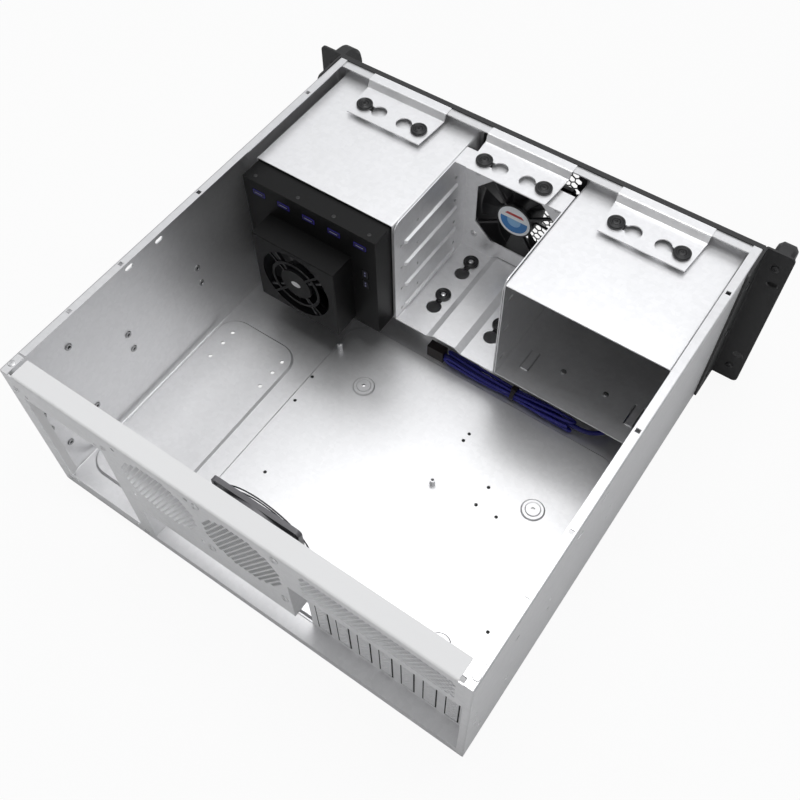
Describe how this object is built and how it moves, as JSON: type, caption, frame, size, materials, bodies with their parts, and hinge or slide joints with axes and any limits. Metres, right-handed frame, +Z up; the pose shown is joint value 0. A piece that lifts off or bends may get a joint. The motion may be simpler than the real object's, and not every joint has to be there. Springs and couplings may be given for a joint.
{
  "type": "rackmount server case",
  "caption": "Open four-unit rackmount server case in zinc-plated steel with black front, drive cages, hot-swap drive trays, fans and a recessed slot panel.",
  "frame": {"origin": "middle of the footprint, on the surface that the case stands on", "axes": "+X right as seen from the front, +Y from the front panel to the rear panel, +Z up"},
  "size_m": [0.4826, 0.4816, 0.1777],
  "materials": {
    "zinc_steel": "satin zinc-plated steel sheet",
    "black_paint": "fine textured black powder coat",
    "black_plastic": "fine grained moulding",
    "lever_plastic": "smooth moulding",
    "button_plastic": "smooth moulding",
    "grommet_rubber": "matt black rubber",
    "screw_steel": "zinc-plated",
    "socket_metal": "bright nickel",
    "standoff_brass": "turned brass",
    "fan_black": "smooth moulding",
    "fan_grey": "smooth moulding",
    "circuit_board": "solder mask",
    "blue_plastic": "smooth moulding",
    "port_plastic": "smooth moulding",
    "lamp_plastic": "milky moulding",
    "lead_blue": "soft cable jacket",
    "tie_plastic": "smooth nylon"
  },
  "bodies": {
    "chassis": {"chassis_tray": "zinc_steel", "rear_panel": "zinc_steel", "slot_frame": "zinc_steel", "slot_covers": "zinc_steel", "slot_screws": "screw_steel", "front_frame": "zinc_steel", "front_panel": "black_paint", "fan_mesh": "black_paint", "bay_cage_left": "zinc_steel", "bay_cage_right": "zinc_steel", "middle_cage": "zinc_steel", "top_bracket_right": "zinc_steel", "top_bracket_middle": "zinc_steel", "top_bracket_left": "zinc_steel", "bracket_grommets": "grommet_rubber", "shelf_grommets": "grommet_rubber", "grommet_screws": "screw_steel", "bay_blank_1": "black_plastic", "bay_blank_2": "black_plastic", "bay_blank_3": "black_plastic", "control_board": "circuit_board", "indicator_lamps": "lamp_plastic", "front_usb_ports": "socket_metal", "ear_left": "black_paint", "handle_left": "black_paint", "ear_right": "black_paint", "handle_right": "black_paint", "handle_screws": "screw_steel", "ear_screws": "screw_steel", "rear_screws": "screw_steel", "standoffs": "standoff_brass", "standoff_screw": "screw_steel", "front_fan_frame": "fan_black", "rear_fan_frame": "fan_grey", "fan_screws": "screw_steel", "module_housing": "black_paint", "module_backplane": "circuit_board", "module_data_ports": "blue_plastic", "module_power_ports": "port_plastic", "module_fan_box": "black_paint", "module_fan_frame": "fan_black", "module_screws": "screw_steel", "usb_lead_bundle": "lead_blue", "usb_lead_tail": "lead_blue", "usb_lead_tie": "tie_plastic"},
    "front_fan_rotor": {"front_fan_rotor": "fan_black"},
    "rear_fan_rotor": {"rear_fan_rotor": "fan_grey"},
    "module_fan_rotor": {"module_fan_rotor": "fan_black"},
    "power_button": {"power_button": "button_plastic"},
    "reset_button": {"reset_button": "button_plastic"},
    "drive_tray_1": {"drive_tray_1": "black_plastic"},
    "tray_lever_1": {"tray_lever_1": "lever_plastic"},
    "drive_tray_2": {"drive_tray_2": "black_plastic"},
    "tray_lever_2": {"tray_lever_2": "lever_plastic"},
    "drive_tray_3": {"drive_tray_3": "black_plastic"},
    "tray_lever_3": {"tray_lever_3": "lever_plastic"},
    "drive_tray_4": {"drive_tray_4": "black_plastic"},
    "tray_lever_4": {"tray_lever_4": "lever_plastic"},
    "drive_tray_5": {"drive_tray_5": "black_plastic"},
    "tray_lever_5": {"tray_lever_5": "lever_plastic"}
  },
  "joints": [
    {"name": "front_fan_spin", "type": "hinge", "parent": "chassis", "child": "front_fan_rotor", "pos_m": [0, -0.1863, 0.101], "axis": [0, 1, 0], "continuous": true},
    {"name": "rear_fan_spin", "type": "hinge", "parent": "chassis", "child": "rear_fan_rotor", "pos_m": [-0.0175, 0.2255, 0.132], "axis": [0, 1, 0], "continuous": true},
    {"name": "module_fan_spin", "type": "hinge", "parent": "chassis", "child": "module_fan_rotor", "pos_m": [0.1315, -0.0203, 0.0858], "axis": [0, 1, 0], "continuous": true},
    {"name": "power_button_press", "type": "slide", "parent": "chassis", "child": "power_button", "axis": [0, 1, 0], "range_m": [0, 0.0016], "stiffness_N_per_m": 300},
    {"name": "reset_button_press", "type": "slide", "parent": "chassis", "child": "reset_button", "axis": [0, 1, 0], "range_m": [0, 0.0016], "stiffness_N_per_m": 300},
    {"name": "drive_tray_1_slide", "type": "slide", "parent": "chassis", "child": "drive_tray_1", "axis": [0, -1, 0], "range_m": [0, 0.14]},
    {"name": "tray_lever_1_swing", "type": "hinge", "parent": "drive_tray_1", "child": "tray_lever_1", "pos_m": [0.07395, -0.2128, 0.0604], "axis": [1, 0, 0], "range_deg": [0, 50]},
    {"name": "drive_tray_2_slide", "type": "slide", "parent": "chassis", "child": "drive_tray_2", "axis": [0, -1, 0], "range_m": [0, 0.14]},
    {"name": "tray_lever_2_swing", "type": "hinge", "parent": "drive_tray_2", "child": "tray_lever_2", "pos_m": [0.10235, -0.2128, 0.0604], "axis": [1, 0, 0], "range_deg": [0, 50]},
    {"name": "drive_tray_3_slide", "type": "slide", "parent": "chassis", "child": "drive_tray_3", "axis": [0, -1, 0], "range_m": [0, 0.14]},
    {"name": "tray_lever_3_swing", "type": "hinge", "parent": "drive_tray_3", "child": "tray_lever_3", "pos_m": [0.13075, -0.2128, 0.0604], "axis": [1, 0, 0], "range_deg": [0, 50]},
    {"name": "drive_tray_4_slide", "type": "slide", "parent": "chassis", "child": "drive_tray_4", "axis": [0, -1, 0], "range_m": [0, 0.14]},
    {"name": "tray_lever_4_swing", "type": "hinge", "parent": "drive_tray_4", "child": "tray_lever_4", "pos_m": [0.15915, -0.2128, 0.0604], "axis": [1, 0, 0], "range_deg": [0, 50]},
    {"name": "drive_tray_5_slide", "type": "slide", "parent": "chassis", "child": "drive_tray_5", "axis": [0, -1, 0], "range_m": [0, 0.14]},
    {"name": "tray_lever_5_swing", "type": "hinge", "parent": "drive_tray_5", "child": "tray_lever_5", "pos_m": [0.18755, -0.2128, 0.0604], "axis": [1, 0, 0], "range_deg": [0, 50]}
  ]
}
